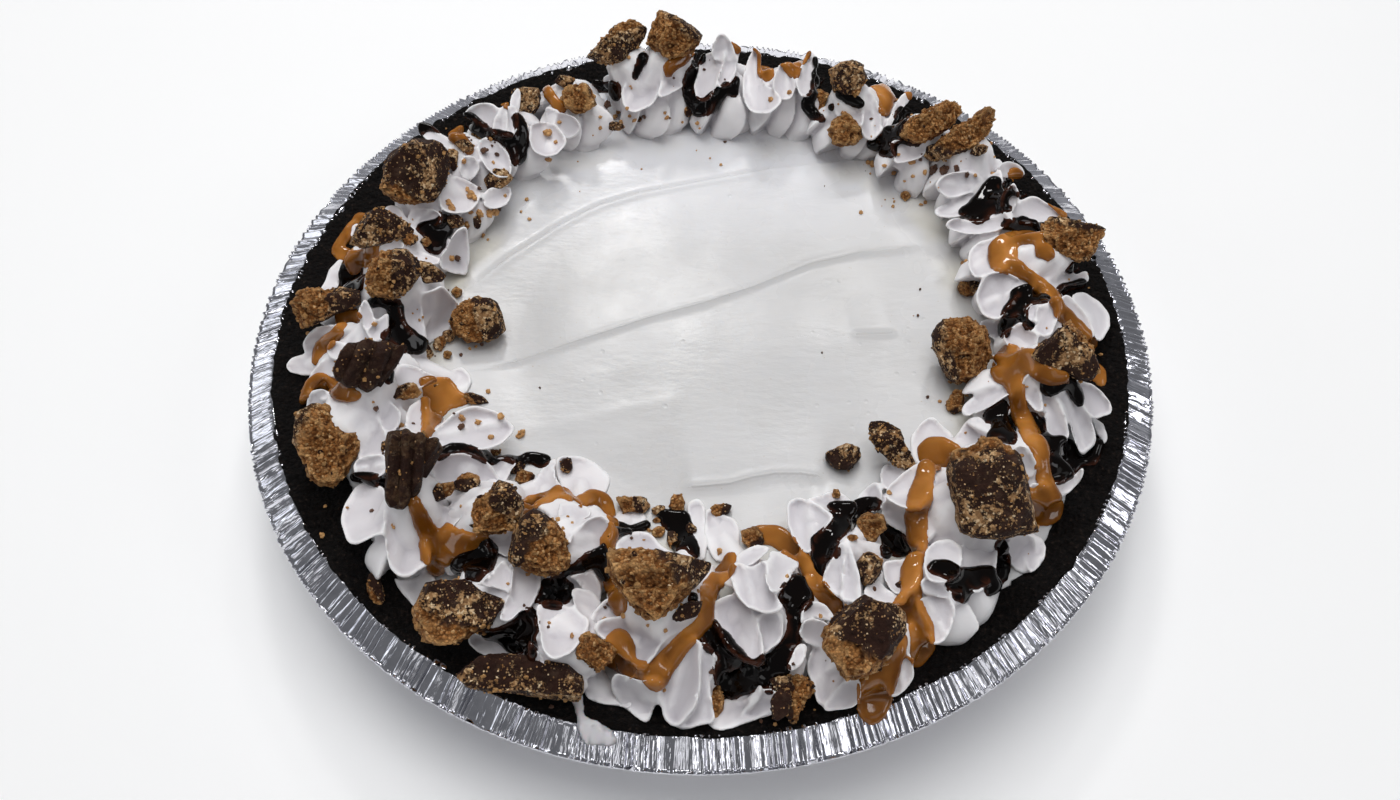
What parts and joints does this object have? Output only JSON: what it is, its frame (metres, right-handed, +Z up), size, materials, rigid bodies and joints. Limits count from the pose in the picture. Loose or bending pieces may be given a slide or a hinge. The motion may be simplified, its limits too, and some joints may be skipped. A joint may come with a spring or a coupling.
{
  "type": "chocolate peanut butter pie",
  "caption": "Whole cream pie in a crimped foil tin: black cookie-crumb crust, smooth cream filling, and a ring of star-piped whipped cream topped with broken peanut butter cups and two sauces.",
  "frame": {"origin": "centre of the tin's flat base, on the surface that the pie stands on", "axes": "+Z up out of the pie; -Y towards the viewer of the reference picture, +X to their right"},
  "size_m": [0.23, 0.23, 0.0593],
  "materials": {
    "foil": "bright crimped foil",
    "crumb_crust": "coarse black cookie crumb, slightly greasy",
    "cream_filling": "smooth wet ivory cream",
    "whipped_cream": "smooth soft white",
    "cup_piece": "broken sweet: dark brown chocolate shell, tan crumbly peanut inside"
  },
  "bodies": {
    "root": {"tin": "foil", "crust": "crumb_crust", "filling": "cream_filling", "dollop_01": "whipped_cream", "dollop_02": "whipped_cream", "dollop_03": "whipped_cream", "dollop_04": "whipped_cream", "dollop_05": "whipped_cream", "dollop_06": "whipped_cream", "dollop_07": "whipped_cream", "dollop_08": "whipped_cream", "dollop_09": "whipped_cream", "dollop_10": "whipped_cream", "dollop_11": "whipped_cream", "dollop_12": "whipped_cream", "dollop_13": "whipped_cream", "dollop_14": "whipped_cream", "dollop_15": "whipped_cream", "dollop_16": "whipped_cream", "dollop_17": "whipped_cream", "dollop_18": "whipped_cream", "dollop_19": "whipped_cream", "dollop_20": "whipped_cream", "dollop_21": "whipped_cream", "dollop_22": "whipped_cream", "dollop_23": "whipped_cream", "dollop_24": "whipped_cream", "dollop_25": "whipped_cream", "dollop_26": "whipped_cream", "dollop_27": "whipped_cream", "dollop_28": "whipped_cream", "dollop_29": "whipped_cream", "dollop_30": "whipped_cream", "dollop_31": "whipped_cream", "cup_a": "cup_piece", "cup_b": "cup_piece", "cup_c": "cup_piece", "cup_d": "cup_piece", "cup_e": "cup_piece", "cup_f": "cup_piece", "cup_g": "cup_piece", "cup_h": "cup_piece", "cup_i": "cup_piece", "cup_j": "cup_piece", "cup_k": "cup_piece", "cup_l": "cup_piece", "cup_m": "cup_piece", "cup_n": "cup_piece", "cup_o": "cup_piece", "cup_p": "cup_piece", "cup_q": "cup_piece", "cup_r": "cup_piece", "cup_s": "cup_piece", "cup_t": "cup_piece", "cup_u": "cup_piece", "cup_v": "cup_piece", "cup_w": "cup_piece", "cup_x": "cup_piece", "cup_y": "cup_piece", "cup_z": "cup_piece"}
  },
  "joints": []
}
